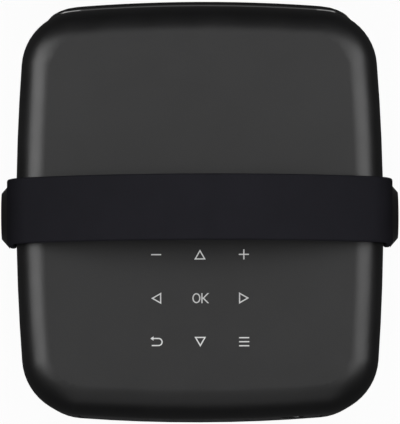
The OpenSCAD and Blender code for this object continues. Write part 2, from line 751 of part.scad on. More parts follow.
// Speakers behind their grilles
grille_a = turn(0, grille_s);
grille_t = 2;
grille_face = 0.3;
grille_chamfer = 0.4;
grille_rim = 3;
grille_margin = 5;
grille_back = wall + fit_gap + flange_t;
grille_columns = floor((grille_w / 2 - grille_margin) / grille_pitch);
grille_rows = floor((grille_h / 2 - grille_margin) / grille_pitch);
module grille_plate(layers) pane(0, grille_s, grille_z, grille_w, grille_h, grille_r, layers);
module at_grille(d) translate(concat(skin(grille_a, d), grille_z)) rotate([0, 0, grille_a]) children();
module grille_holes() for (i = [-grille_columns:grille_columns], j = [-grille_rows:grille_rows])
    translate([0, i * grille_pitch, j * grille_pitch]) rotate([0, 90, 0])
        cylinder(r = grille_hole_r, h = grille_back + 2 * past);
module speaker_grille() difference() {
    grille_plate([
        [grille_rim, grille_t], [grille_rim, grille_back],
        [-flange_w, grille_back], [-flange_w, wall + fit_gap], [fit_gap, wall + fit_gap],
        [fit_gap, grille_face + grille_chamfer], [fit_gap + grille_chamfer, grille_face]]);
    at_grille(grille_back + past) grille_holes();
}
module speaker_grilles() color(inner_plastic) both_sides() speaker_grille();
speaker_gap = 0.6;
basket_depth = 12;
basket_rim = 3;
basket_t = 1.5;
magnet_r = speaker_r * 0.55;
magnet_t = 8;
coil_r = magnet_r / 2;
cone_r = speaker_r - basket_rim - fit_gap;
cone_t = 1;
module at_speakers() both_sides() at_grille(grille_back + speaker_gap) rotate([0, -90, 0]) children();
module speaker_frames() color(metal) at_speakers() rotate_extrude() polygon([
    [speaker_r - basket_rim, 0], [speaker_r, 0],
    [speaker_r, 2 * cone_t], [speaker_r - basket_t, 2 * cone_t],
    [magnet_r, basket_depth - basket_t], [magnet_r, basket_depth], [coil_r, basket_depth],
    [coil_r, basket_depth - basket_t], [magnet_r - basket_t, basket_depth - basket_t],
    [speaker_r - basket_rim, 2 * cone_t]]);
module speaker_cones() color(rubber) at_speakers() rotate_extrude() polygon([
    [0, 3 * cone_t], [coil_r, 5 * cone_t], [cone_r - cone_t, cone_t / 2], [cone_r, cone_t / 2],
    [cone_r, 1.5 * cone_t], [coil_r, basket_depth - 2 * basket_t], [0, basket_depth - 2 * basket_t]]);
module speaker_magnets() color(metal)
    at_speakers() translate([0, 0, basket_depth]) cylinder(r = magnet_r, h = magnet_t);

// Strap, its pivots and the brackets that carry them
strap_x = half_w + strap_side_gap;
strap_z = top_z + strap_rise;
strap_out = strap_x + strap_t;
cap_r = strap_w / 2;
bush_t = 2.2;
bush_r = pivot_r + bush_t;
washer_w = 6;
washer_r = pivot_r + washer_w;
bracket_w = 36;
bracket_t = 2;
bracket_x = side_at(bracket_w / 2, wall) - fit_gap / 2;
bracket_boss_r = 7;
bracket_boss_h = 8;
thread_r = 3;
thread_len = bracket_t + bracket_boss_h;
pivot_head_r = 7;
pivot_head_h = 1.6;
// The strap's inner face is an arch over the top, a bend at each side and two straight legs.
bend_x = strap_x - strap_bend_r;
arch_z = strap_z - strap_arch_r;
arch_turn = asin(bend_x / (strap_arch_r - strap_bend_r));
leg_z = arch_z + (strap_arch_r - strap_bend_r) * cos(arch_turn);
arch_len = strap_arch_r * arch_turn * PI / 180;
leg_start = arch_len + strap_bend_r * (90 - arch_turn) * PI / 180;
strap_half = leg_start + leg_z - pivot_z;
// Point at the distance s along the strap from its middle and v across it, d out from its inner face
function from_top(t) = [sin(t), cos(t)];
function bent(a, d) =
    a < arch_len ? [0, arch_z] + (strap_arch_r + d) * from_top(degrees_of(a, strap_arch_r))
    : a < leg_start ? [bend_x, leg_z]
        + (strap_bend_r + d) * from_top(arch_turn + degrees_of(a - arch_len, strap_bend_r))
    : [strap_x + d, leg_z - a + leg_start];
function strap_at(s, v, d) = let (p = bent(abs(s), d)) [sign(s) * p.x, v, p.y];
// Half of the strap's outline with its round ends, drawn flat and moved inwards
arch_steps = 9;
bend_steps = 8;
strap_end_steps = 12;
strap_stations = concat(
    steps(0, arch_len, arch_steps), steps(arch_len, leg_start, bend_steps), [leg_start]);
function strap_side(inset) = let (r = strap_w / 2 - inset) concat(
    [for (s = strap_stations) [s, r]],
    [for (i = [0:strap_end_steps]) [strap_half, 0] + r * from_top(180 * i / (2 * strap_end_steps + 1))]);
function strap_edge(inset) = let (side = strap_side(inset))
    concat([for (i = [len(side) - 1:-1:1]) [-side[i].x, side[i].y]], side);
function strap_loop(inset, d) = let (edge = strap_edge(inset)) concat(
    [for (p = edge) strap_at(p.x, p.y, d)],
    [for (i = [len(edge) - 1:-1:0]) strap_at(edge[i].x, -edge[i].y, d)]);
// Insets and depths of its rounded edges
round_steps = 3;
strap_round = [for (t = [0:90 / round_steps:90]) strap_edge_r * [1 - sin(t), 1 - cos(t)]];
strap_layers = concat(
    strap_round, [for (i = [round_steps:-1:0]) [strap_round[i].x, strap_t - strap_round[i].y]]);
module handle_strap() color(rubber) difference() {
    looped_solid([for (layer = strap_layers) strap_loop(layer.x, layer.y)]);
    both_sides() pivot_at(strap_x - past) cylinder(r = bush_r + run_gap, h = strap_t + 2 * past);
}
module pivot_bushes() color(metal)
    both_sides() pivot_at(strap_x) tube(bush_r, pivot_r + run_gap, strap_t);
module pivot_caps() color(gloss) both_sides() pivot_at(strap_out) difference() {
    cylinder(r1 = cap_r, r2 = cap_face_r, h = cap_h);
    translate([0, 0, -past]) cylinder(r = pivot_head_r + fit_gap, h = pivot_head_h + 2 * fit_gap + past);
}
module pivot_screws() color(metal) both_sides() {
    pivot_at(strap_out + fit_gap / 2) cylinder(r = pivot_head_r, h = pivot_head_h);
    pivot_at(bracket_x) cylinder(r = pivot_r, h = strap_out + fit_gap - bracket_x);
    pivot_at(bracket_x - thread_len) cylinder(r = thread_r, h = thread_len + past);
}
module pivot_washers() color(rubber) both_sides() pivot_at(half_w + fit_gap / 2)
    tube(washer_r, pivot_r + fit_gap, strap_side_gap - fit_gap);
module handle_brackets() color(metal) both_sides() pivot_at(bracket_x - bracket_t) difference() {
    union() {
        block([bracket_w, bracket_w, bracket_t]);
        translate([0, 0, -bracket_boss_h]) cylinder(r = bracket_boss_r, h = bracket_boss_h + past);
    }
    translate([0, 0, -bracket_boss_h - past])
        cylinder(r = thread_r + run_gap, h = thread_len + 2 * past);
}

// Light engine, from the lamp at the rear to the lens at the front
in_w = engine_w - 2 * engine_wall;
in_h = engine_h - 2 * engine_wall;
// Place behind the front of the engine and thickness of the three plates in the light
plates = [[engine_len * 0.45, 2], [engine_len * 0.55, 3], [engine_len * 0.66, 2]];
rib = 2;
lug = [10, 10, 3];
lamp_hole_r = 20;
barrel_clear = 1.5;
condenser_t = 11;
condenser_rim = 4;
condenser_y = engine_len - engine_wall - condenser_rim - condenser_t;
board_lift = 5;
board_screw_r = 1.2;
board_screw_len = 5;
board_post = [engine_w / 2 - 8, engine_len / 2 - 8];
module on_axis(y) translate([0, engine_front + y, axis_z]) children();
module axis_hole(y, r, len) translate([0, y, 0]) along_y() cylinder(r = r, h = len);
module plate_ribs() for (plate = plates, side = [-1, 1], face = [-1, 1]) {
    rib_y = plate.x + face * (plate.y + rib + fit_gap) / 2;
    translate([side * (in_w - rib) / 2, rib_y, -in_h / 4]) cube([rib + hair, rib, in_h / 2], center = true);
}
module engine_half() difference() {
    union() {
        difference() {
            translate([-engine_w / 2, 0, -engine_h / 2]) cube([engine_w, engine_len, engine_h / 2]);
            translate([-in_w / 2, engine_wall, -in_h / 2])
                cube([in_w, engine_len - 2 * engine_wall, in_h]);
        }
        translate([-in_w / 2 - past, condenser_y + condenser_t - condenser_rim, -in_h / 2 - past])
            cube([in_w + 2 * past, condenser_rim, in_h / 2 + past]);
        plate_ribs();
    }
    axis_hole(-past, barrel_r + barrel_clear, engine_wall + 2 * past);
    axis_hole(engine_len - engine_wall - past, lamp_hole_r, engine_wall + 2 * past);
    axis_hole(condenser_y, condenser_r + run_gap, condenser_t + past);
}
module engine_lugs() for (x = [-1, 1] * (engine_post_x - 1), y = engine_post_y)
    translate([x, y, -engine_h / 2]) block(lug);
module engine_base() color(inner_plastic) difference() {
    on_axis(0) {
        engine_half();
        engine_lugs();
    }
    engine_posts(engine_low - past) cylinder(r = screw_r + fit_gap, h = lug.z + 2 * past);
}
module board_posts(z) on_axis(engine_len / 2) translate([0, 0, engine_h / 2 + z])
    four_corners(board_post.x, board_post.y) children();
module engine_cover() color(inner_plastic) difference() {
    union() {
        on_axis(0) mirror([0, 0, 1]) engine_half();
        board_posts(-engine_wall / 2) cylinder(r = standoff_r, h = board_lift + engine_wall / 2);
    }
    board_posts(board_lift - board_screw_len - past)
        cylinder(r = board_screw_r + run_gap, h = board_screw_len + 2 * past);
}
module engine_screws() color(metal) {
    engine_posts(engine_low + lug.z) cylinder(r = screw_head_r, h = screw_head_h);
    engine_posts(engine_low + lug.z + past - engine_hole) cylinder(r = screw_r, h = engine_hole);
}
module plate(i)
    on_axis(plates[i].x) cube([in_w - 2 * fit_gap, plates[i].y, in_h - 2 * fit_gap], center = true);
module front_field_lens() color(glass) plate(0);
module lcd_panel() color(gloss) plate(1);
module rear_field_lens() color(glass) plate(2);
// Lens of radius r with a domed face of height h at the bottom and a straight rim above it
module lens(r, h, rim) {
    ball_r = (r ^ 2 + h ^ 2) / (2 * h);
    intersection() {
        translate([0, 0, ball_r]) sphere(ball_r);
        cylinder(r = r, h = h);
    }
    translate([0, 0, h]) cylinder(r = r, h = rim);
}
module condenser_lens() color(glass) on_axis(condenser_y) along_y()
    lens(condenser_r, condenser_t - condenser_rim, condenser_rim);
lamp_t = 2;
lamp_w = 60;
lamp_h = 50;
emitter = [14, 14, 1.5];
sink_base_t = 5;
sink_w = 84;
sink_h = engine_h - 2;
fin_t = 1.6;
module lamp_emitter() color(lamp_yellow) on_axis(engine_len - emitter.z) along_y() block(emitter);
module lamp_board() color(copper) on_axis(engine_len) along_y() block([lamp_w, lamp_h, lamp_t]);
module heat_sink() color(metal) on_axis(engine_len + lamp_t) along_y() {
    fin_len = exhaust_front - fit_gap - engine_back - lamp_t;
    fin_pitch = (sink_w - fin_t) / (fins - 1);
    block([sink_w, sink_h, sink_base_t]);
    for (i = [0:fins - 1]) translate([(i - (fins - 1) / 2) * fin_pitch, 0, 0])
        block([fin_t, sink_h, fin_len]);
}

// Projection lens: a fixed sleeve, a sliding barrel and the ring that drives it
sleeve_t = 3;
sleeve_r = barrel_r + run_gap + sleeve_t;
sleeve_len = 42;
mount_flange_t = 4;
mount_flange_r = sleeve_r + 8;
collar_t = 2;
collar_w = 2;
gear_back = -14;
gear_t = 8;
gear_play = 0.1;
focus_throw = 3;
barrel_len = lens_room - barrel_setback;
guide_r = 1.5;
guide_y = -mount_flange_t - 8;
gear_distance = gear_module * (ring_teeth + pinion_teeth) / 2;
motor_x = gear_distance * cos(motor_angle);
motor_z = gear_distance * sin(motor_angle);
motor_front = gear_back + 0.5;
motor_seat = 2;
module at_motor(y) on_axis(y) translate([motor_x, 0, motor_z]) children();
module lens_mount() color(inner_plastic) difference() {
    union() {
        on_axis(-sleeve_len) along_y() cylinder(r = sleeve_r, h = sleeve_len);
        on_axis(-mount_flange_t) along_y() cylinder(r = mount_flange_r, h = mount_flange_t);
        on_axis(gear_back) along_y() cylinder(r = sleeve_r + collar_w, h = collar_t);
        at_motor(-mount_flange_t) along_y() cylinder(r = motor_r + motor_seat, h = mount_flange_t);
    }
    on_axis(0) axis_hole(-sleeve_len - past, barrel_r + run_gap, sleeve_len + 2 * past);
    on_axis(guide_y) linear_extrude(2 * sleeve_r)
        square(2 * [guide_r + fit_gap, focus_throw + guide_r + fit_gap], center = true);
}
front_glass_r = barrel_r - 3;
front_glass_dome = 6;
rear_glass_r = barrel_r - 8;
rear_glass_dome = 4;
glass_rim = 3;
glass_lip = 2;
rear_glass_in = 1;
front_glass_t = front_glass_dome + glass_rim;
rear_glass_t = rear_glass_dome + glass_rim;
module lens_barrel() color(gloss) {
    on_axis(-barrel_len) difference() {
        axis_hole(0, barrel_r, barrel_len);
        axis_hole(-past, front_glass_r + run_gap, front_glass_t + glass_lip + past);
        axis_hole(0, rear_glass_r - glass_lip, barrel_len + past);
        axis_hole(barrel_len - rear_glass_t - rear_glass_in, rear_glass_r + run_gap, barrel_len);
    }
    on_axis(guide_y) translate([0, 0, barrel_r - past])
        cylinder(r = guide_r, h = sleeve_t + past - fit_gap);
}
module front_element() color(glass) on_axis(glass_lip - barrel_len) along_y()
    lens(front_glass_r, front_glass_dome, glass_rim);
module rear_element() color(glass) on_axis(-rear_glass_in) rotate([90, 0, 0])
    lens(rear_glass_r, rear_glass_dome, glass_rim);

// Half of a tooth's angle at the radius r, and the outline of one tooth
pressure_angle = 20;
tooth_play = 0.35;
tooth_heights = [-1.25, -0.8, -0.3, 0.2, 0.6, 0.95];
function involute(a) = tan(a) * 180 / PI - a;
function half_tooth(r, teeth) =
    let (base_r = gear_module * teeth / 2 * cos(pressure_angle))
    (90 - 45 * tooth_play) / teeth + involute(pressure_angle) - involute(acos(min(1, base_r / r)));
function polar(r, a) = r * [cos(a), sin(a)];
function tooth(teeth, at) = let (radii = [for (h = tooth_heights) gear_module * (teeth / 2 + h)]) concat(
    [for (r = radii) polar(r, at - half_tooth(r, teeth))],
    [for (i = [len(radii) - 1:-1:0]) polar(radii[i], at + half_tooth(radii[i], teeth))]);
sector_teeth = 16;
plain_steps = 16;
module ring_outline() {
    tooth_a = 360 / ring_teeth;
    edge_a = (sector_teeth + 0.5) * tooth_a;
    root_r = gear_module * (ring_teeth / 2 + tooth_heights[0]);
    polygon(concat(
        [for (i = [-sector_teeth:sector_teeth]) each tooth(ring_teeth, i * tooth_a)],
        [for (i = [1:plain_steps - 1]) polar(root_r, edge_a + (360 - 2 * edge_a) * i / plain_steps)]));
}
module pinion_outline()
    polygon([for (i = [0:pinion_teeth - 1]) each tooth(pinion_teeth, (i + 0.5) * 360 / pinion_teeth)]);
module focus_ring() color(inner_plastic) on_axis(gear_back - gear_play) rotate([90, 0, 0]) difference() {
    linear_extrude(gear_t) rotate(motor_angle) ring_outline();
    translate([0, 0, -past]) cylinder(r = sleeve_r + run_gap, h = gear_t + 2 * past);
}
clip_t = 1.4;
module focus_clip() color(metal) on_axis(gear_back - gear_t - 2 * gear_play) rotate([90, 0, 0])
    tube(sleeve_r + collar_w, sleeve_r + run_gap, clip_t);
shaft_r = 1;
shaft_in = 6;
module focus_pinion() color(brass) at_motor(motor_front - fit_gap) rotate([90, 0, 0]) {
    linear_extrude(gear_t) rotate(motor_angle + 180) pinion_outline();
    translate([0, 0, -shaft_in]) cylinder(r = shaft_r, h = shaft_in + past);
}
module focus_motor() color(metal) at_motor(motor_front) along_y()
    tube(motor_r, shaft_r + run_gap, -mount_flange_t - motor_front);

// Fans
hub_r = 14;
fan_rim = 2.5;
fan_bore_r = fan_w / 2 - fan_rim;
fan_corner_r = 4;
fan_hole_r = 1.7;
tip_gap = 1.5;
strut_w = 4;
hub_plate_t = 2;
fan_pin_r = 1.5;
fan_pin_h = 6;
fan_float = 0.3;
blade_t = 1.2;
blade_pitch = 40;
module fan_frame(depth) {
    difference() {
        linear_extrude(depth) round_rect(fan_w, fan_w, fan_corner_r);
        translate([0, 0, -past]) cylinder(r = fan_bore_r, h = depth + 2 * past);
        fan_corners() translate([0, 0, -past]) cylinder(r = fan_hole_r, h = depth + 2 * past);
    }
    cylinder(r = hub_r, h = hub_plate_t);
    cylinder(r = fan_pin_r, h = hub_plate_t + fan_pin_h);
    for (i = [0:2]) rotate(45 + i * 120) translate([0, -strut_w / 2, 0])
        cube([fan_bore_r + past, strut_w, hub_plate_t]);
}
module fan_blade(rotor_h) {
    chord = rotor_h * 1.1;
    reach = sqrt((fan_bore_r - tip_gap) ^ 2 - (chord / 2) ^ 2);
    translate([hub_r - past, 0, rotor_h / 2]) rotate([blade_pitch, 0, 0])
        translate([0, -chord / 2, -blade_t / 2]) cube([reach - hub_r + past, chord, blade_t]);
}
module fan_rotor(depth) {
    rotor_h = depth - hub_plate_t - fan_float - past;
    translate([0, 0, hub_plate_t + fan_float]) difference() {
        union() {
            cylinder(r = hub_r, h = rotor_h);
            for (i = [0:blades - 1]) rotate(i * 360 / blades) fan_blade(rotor_h);
        }
        translate([0, 0, -past]) cylinder(r = fan_pin_r + run_gap, h = fan_pin_h + past);
    }
}
module at_intake() translate([0, intake_y, floor_z]) children();
module exhaust_frame() color(inner_plastic) at_exhaust() fan_frame(exhaust_t);
module exhaust_rotor() color(rubber) at_exhaust() fan_rotor(exhaust_t);
module intake_frame() color(inner_plastic) at_intake() fan_frame(intake_t);
module intake_rotor() color(rubber) at_intake() fan_rotor(intake_t);

// Boards and what stands on them
board_margin = 3;
processor = [24, 24, 5];
memory = [12, 14, 1.6];
memory_at = [26, 10];
transformer = [24, 22, 12];
transformer_x = -8;
power_fin = [3, 28, 12];
power_fin_x = 14;
capacitor_r = 5.5;
capacitor_h = 13;
capacitor_at = [power_w * 0.36, 8];
module main_board() color(board_green) difference() {
    on_axis(engine_len / 2) translate([0, 0, engine_h / 2 + board_lift])
        block([engine_w, engine_len - 2 * board_margin, board_t]);
    board_posts(board_lift - past) cylinder(r = board_screw_r + fit_gap, h = board_t + 2 * past);
}
module board_screws() color(metal) {
    board_posts(board_lift + board_t) cylinder(r = 2 * board_screw_r, h = 1.5 * board_screw_r);
    board_posts(board_lift - board_screw_len)
        cylinder(r = board_screw_r, h = board_screw_len + board_t + past);
}
module main_chips() color(inner_plastic)
    on_axis(engine_len / 2) translate([0, 0, engine_h / 2 + board_lift + board_t]) {
        block(processor);
        four_corners(memory_at.x, memory_at.y) block(memory);
    }
power_mid = (power_front + power_back) / 2;
module power_board() color(board_green) translate([0, power_mid, power_z])
    block([power_w, power_back - power_front, board_t]);
module power_components() translate([0, power_mid, power_z + board_t]) {
    color(inner_plastic) translate([transformer_x, 0, 0]) block(transformer);
    color(metal) translate([power_fin_x, 0, 0]) block(power_fin);
    color(gloss) four_corners(capacitor_at.x, capacitor_at.y) cylinder(r = capacitor_r, h = capacitor_h);
}

top_cover();
bottom_cover();
case_screws();
rubber_feet();
tripod_insert();
intake_grille();
dust_filter();
key_legends();
touch_board();
front_bezel();
lens_window();
lens_trim();
sensor_windows();
sensor_modules();
rear_panel();
hdmi_sockets();
usb_sockets();
audio_socket();
mains_inlet();
socket_board();
power_button();
button_switch();
status_light();
speaker_grilles();
speaker_frames();
speaker_cones();
speaker_magnets();
handle_strap();
pivot_bushes();
pivot_caps();
pivot_screws();
pivot_washers();
handle_brackets();
engine_base();
engine_cover();
engine_screws();
front_field_lens();
lcd_panel();
rear_field_lens();
condenser_lens();
lamp_emitter();
lamp_board();
heat_sink();
lens_mount();
lens_barrel();
front_element();
rear_element();
focus_ring();
focus_clip();
focus_pinion();
focus_motor();
exhaust_frame();
exhaust_rotor();
intake_frame();
intake_rotor();
main_board();
board_screws();
main_chips();
power_board();
power_components();
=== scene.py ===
"""Looks, light and camera for a portable video projector with a carrying strap."""

import math

import bmesh
import bpy
from mathutils import Euler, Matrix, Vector


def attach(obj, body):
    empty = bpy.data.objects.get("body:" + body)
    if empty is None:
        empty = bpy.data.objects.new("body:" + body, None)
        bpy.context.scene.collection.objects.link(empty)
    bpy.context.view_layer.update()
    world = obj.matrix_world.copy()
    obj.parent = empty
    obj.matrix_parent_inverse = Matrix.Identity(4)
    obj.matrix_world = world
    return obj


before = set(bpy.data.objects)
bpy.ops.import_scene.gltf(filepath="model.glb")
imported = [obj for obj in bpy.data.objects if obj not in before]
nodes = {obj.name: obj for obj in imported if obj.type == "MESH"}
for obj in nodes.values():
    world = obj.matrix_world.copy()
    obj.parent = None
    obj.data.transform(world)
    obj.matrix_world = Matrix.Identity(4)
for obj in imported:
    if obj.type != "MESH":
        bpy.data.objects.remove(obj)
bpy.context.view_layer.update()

MM = 0.001
BODY = "projector_body"
BUTTON_BODY = "button"


# Materials, with textures measured in the object's own metres
class Paint:
    """A material round one surface shader, and the textures that feed it."""

    # Places of the colours among the sockets of a mix
    COLOUR_INPUTS = (6, 7)
    COLOUR_OUTPUT = 2

    def __init__(self, name, colour, roughness, **inputs):
        self.material = bpy.data.materials.new(name)
        self.material.use_nodes = True
        self.tree = self.material.node_tree
        self.surface = self.tree.nodes["Principled BSDF"]
        self.set("Base Color", (*colour, 1.0))
        self.set("Roughness", roughness)
        for key, value in inputs.items():
            self.set(key.replace("_", " ").title().replace("Ior", "IOR"), value)
        self.place = self.node("ShaderNodeTexCoord").outputs["Object"]

    def set(self, socket, value):
        """Give a surface input one value all over."""
        self.surface.inputs[socket].default_value = value

    def node(self, kind, **values):
        """A new node with some of its settings."""
        made = self.tree.nodes.new(kind)
        for key, value in values.items():
            setattr(made, key, value)
        return made

    def link(self, source, target):
        """Join an output to an input."""
        self.tree.links.new(source, target)

    def feed(self, source, socket):
        """Let an output drive a surface input."""
        self.link(source, self.surface.inputs[socket])

    def vary(self, socket, source, span, values):
        """Let a surface input run between two values while a source crosses a span."""
        self.feed(self.ranged(source, span, values), socket)

    def tint(self, share, first, second):
        """Colour the surface between two colours."""
        self.feed(self.blend(share, first, second), "Base Color")

    def stretched(self, scale):
        """Object coordinates multiplied by a scale for each axis."""
        mapping = self.node("ShaderNodeMapping")
        mapping.inputs["Scale"].default_value = scale
        self.link(self.place, mapping.inputs["Vector"])
        return mapping.outputs["Vector"]

    def noise(self, size_mm, detail=3.0, rough=0.5, place=None):
        """Cloudy noise from 0 to 1 whose features are about size_mm across."""
        made = self.node("ShaderNodeTexNoise")
        made.inputs["Scale"].default_value = 1.0 / (size_mm * MM)
        made.inputs["Detail"].default_value = detail
        made.inputs["Roughness"].default_value = rough
        self.link(place or self.place, made.inputs["Vector"])
        return made.outputs["Fac"]

    def cells(self, size_mm, distance="EUCLIDEAN"):
        """Distance to the middles of cells about size_mm across."""
        made = self.node("ShaderNodeTexVoronoi", feature="F1", distance=distance)
        made.inputs["Scale"].default_value = 1.0 / (size_mm * MM)
        self.link(self.place, made.inputs["Vector"])
        return made.outputs["Distance"]

    def cell_edges(self, size_mm, place=None):
        """Distance to the edges of cells about size_mm across."""
        made = self.node("ShaderNodeTexVoronoi", feature="DISTANCE_TO_EDGE")
        made.inputs["Scale"].default_value = 1.0 / (size_mm * MM)
        self.link(place or self.place, made.inputs["Vector"])
        return made.outputs["Distance"]

    def ranged(self, source, span, values):
        """A source stretched from one span to another."""
        made = self.node("ShaderNodeMapRange")
        keys = ("From Min", "From Max", "To Min", "To Max")
        for key, value in zip(keys, (*span, *values)):
            made.inputs[key].default_value = value
        self.link(source, made.inputs["Value"])
        return made.outputs["Result"]

    def sum(self, first, second, share=1.0):
        """first + share * second"""
        made = self.node("ShaderNodeMath", operation="MULTIPLY_ADD")
        self.link(second, made.inputs[0])
        made.inputs[1].default_value = share
        self.link(first, made.inputs[2])
        return made.outputs["Value"]

    def blend(self, share, first, second):
        """A colour between two colours, which may be outputs of other nodes."""
        made = self.node("ShaderNodeMix", data_type="RGBA")
        self.link(share, made.inputs["Factor"])
        for place, colour in zip(self.COLOUR_INPUTS, (first, second)):
            if isinstance(colour, tuple):
                made.inputs[place].default_value = (*colour, 1.0)
            else:
                self.link(colour, made.inputs[place])
        return made.outputs[self.COLOUR_OUTPUT]

    def bump(self, height, depth_mm, strength=1.0):
        """Small relief on the surface."""
        made = self.node("ShaderNodeBump")
        made.inputs["Strength"].default_value = strength
        made.inputs["Distance"].default_value = depth_mm * MM
        self.link(height, made.inputs["Height"])
        self.feed(made.outputs["Normal"], "Normal")


# Spans and ratios that the surfaces share
RISING = (0.0, 1.0)
FALLING = (1.0, 0.0)
MIDDLE = (0.3, 0.7)
PIT_TO_GRAIN = 1.7
DRAWN_OUT = 0.04


def shade(colour, factor):
    """A colour made lighter or darker."""
    return tuple(channel * factor for channel in colour)


def moulded(name, colour, roughness, grain_mm, depth_mm, spread=0.05, mottle=0.15, **inputs):
    """Moulded plastic or rubber with an eroded grain and slightly uneven gloss and colour."""
    paint = Paint(name, colour, roughness, **inputs)
    pits = paint.cells(grain_mm * PIT_TO_GRAIN)
    grain = paint.sum(paint.noise(grain_mm, detail=4.0, rough=0.6), pits, share=0.35)
    cloud = paint.noise(size_mm=14.0, detail=2.0)
    paint.vary("Roughness", cloud, span=MIDDLE, values=(roughness - spread, roughness + spread))
    patches = paint.ranged(paint.sum(cloud, grain, share=0.5), span=(0.4, 1.1), values=RISING)
    paint.tint(patches, shade(colour, 1 - mottle), shade(colour, 1 + mottle))
    paint.bump(grain, depth_mm)
    return paint.material


def smear(paint, colour):
    """Faint smears in the colour of a smooth surface; the smears are returned."""
    smears = paint.noise(size_mm=9.0, detail=5.0, rough=0.65)
    paint.tint(smears, shade(colour, 0.8), shade(colour, 1.2))
    return smears


def polished(name, colour, roughness):
    """Polished plastic with faint waviness and a few dull specks."""
    speck = 0.12
    paint = Paint(name, colour, roughness)
    smears = smear(paint, colour)
    gloss = paint.ranged(smears, span=(0.35, 0.7), values=(roughness * 0.8, roughness * 1.35))
    specks = paint.ranged(paint.cells(size_mm=2.2), span=(0.0, speck), values=(speck, 0.0))
    paint.feed(paint.sum(gloss, specks), "Roughness")
    paint.bump(paint.noise(size_mm=25.0, detail=1.0), depth_mm=0.02, strength=0.4)
    return paint.material


def bowed_depth(paint, radius):
    """The Y coordinate, with the bow of a front of this radius taken out of it."""
    split = paint.node("ShaderNodeSeparateXYZ")
    paint.link(paint.place, split.inputs["Vector"])
    square = paint.node("ShaderNodeMath", operation="MULTIPLY")
    for factor in square.inputs[:2]:
        paint.link(split.outputs["X"], factor)
    return paint.sum(split.outputs["Y"], square.outputs["Value"], share=-0.5 / radius)


# The cover's bowed front, and the lip that the bezel has just ahead of it
FRONT_Y = -103.5 * MM
FRONT_CROWN_R = 800 * MM
LIP_W = 0.95 * MM
LIP_EDGE = 0.05 * MM
LIP_SPECULAR = 1.0
SATIN_SPECULAR = 0.2


def lipped(name, colour, satin, gloss):
    """Satin plastic with a polished lip along the bowed front of the cover."""
    paint = Paint(name, colour, satin)
    depth = bowed_depth(paint, FRONT_CROWN_R)
    lip = FRONT_Y - LIP_W
    step = (lip - LIP_EDGE, lip + LIP_EDGE)
    paint.vary("Roughness", depth, span=step, values=(satin, gloss))
    paint.vary("Specular IOR Level", depth, span=step, values=(SATIN_SPECULAR, LIP_SPECULAR))
    smear(paint, colour)
    paint.bump(paint.noise(size_mm=0.5, detail=3.0), depth_mm=0.01)
    return paint.material


def brushed(name, colour, roughness, axis, pitch_mm=0.5):
    """Metal with fine drawn or turned lines along an axis."""
    paint = Paint(name, colour, roughness, metallic=1.0)
    stretch = [DRAWN_OUT if letter == axis else 1.0 for letter in "XYZ"]
    lines = paint.noise(pitch_mm, detail=4.0, rough=0.7, place=paint.stretched(stretch))
    stain = paint.noise(size_mm=6.0, detail=3.0)
    rubbed = paint.sum(lines, stain, share=0.6)
    paint.vary("Roughness", rubbed, span=(0.5, 1.1), values=(roughness * 0.7, roughness * 1.4))
    paint.tint(stain, shade(colour, 0.86), shade(colour, 1.06))
    paint.bump(lines, depth_mm=0.02, strength=0.5)
    return paint.material


def lens_glass(name, colour, film_nm):
    """Optical glass with a coating of a given thickness, or none, and a trace of haze."""
    paint = Paint(
        name, colour, roughness=0.0, transmission_weight=1.0, ior=1.52,
        thin_film_thickness=film_nm, thin_film_ior=1.38)
    haze = paint.noise(size_mm=6.0, detail=4.0)
    paint.vary("Roughness", haze, span=(0.45, 0.8), values=(0.0, 0.03))
    return paint.material


def circuit_board(name):
    """Green lacquer over copper tracks, with tinned pads."""
    green = (0.006, 0.075, 0.03)
    over_copper = (0.012, 0.13, 0.05)
    tin = (0.62, 0.6, 0.55)
    paint = Paint(name, green, roughness=0.35)
    edges = paint.cell_edges(size_mm=3.4, place=paint.stretched((1.0, 1.0, 0.2)))
    tracks = paint.ranged(edges, span=(0.03, 0.05), values=FALLING)
    squares = paint.cells(size_mm=2.6, distance="CHEBYCHEV")
    pads = paint.ranged(squares, span=(0.16, 0.2), values=FALLING)
    paint.tint(pads, paint.blend(tracks, green, over_copper), tin)
    paint.feed(pads, "Metallic")
    paint.vary("Roughness", pads, span=RISING, values=(0.38, 0.22))
    paint.bump(paint.sum(tracks, pads, share=1.5), depth_mm=0.04)
    return paint.material


def foam(name):
    """Open foam of an air filter, with painted shade in the middles of its pores."""
    strands = (0.05, 0.05, 0.052)
    # The colour of the middles of the pores is painted shade, not the foam's own colour
    painted_pore_shade = (0.004, 0.004, 0.004)
    paint = Paint(name, (0.02, 0.02, 0.021), roughness=0.9)
    pores = paint.cell_edges(size_mm=1.3)
    # The cell edges are the strands; the middles of the cells are painted dark as shade inside the
    # pores
    paint.tint(paint.ranged(pores, span=(0.05, 0.25), values=RISING), strands, painted_pore_shade)
    paint.bump(pores, depth_mm=0.6)
    return paint.material


def paper_cone(name):
    """Pressed paper of a speaker cone, with fibres."""
    dark = (0.012, 0.012, 0.013)
    pale = (0.035, 0.034, 0.034)
    paint = Paint(name, (0.018, 0.018, 0.02), roughness=0.75)
    along = paint.stretched((1.0, 0.25, 1.0))
    fibres = paint.noise(size_mm=0.6, detail=6.0, rough=0.75, place=along)
    paint.tint(fibres, dark, pale)
    paint.bump(fibres, depth_mm=0.1)
    return paint.material


def ink(name, tone):
    """Printed ink, a little uneven."""
    colour = (tone, tone, tone)
    paint = Paint(name, colour, roughness=0.55)
    patches = paint.noise(size_mm=0.8, detail=3.0)
    paint.tint(patches, shade(colour, 0.93), shade(colour, 1.05))
    paint.bump(patches, depth_mm=0.03)
    return paint.material


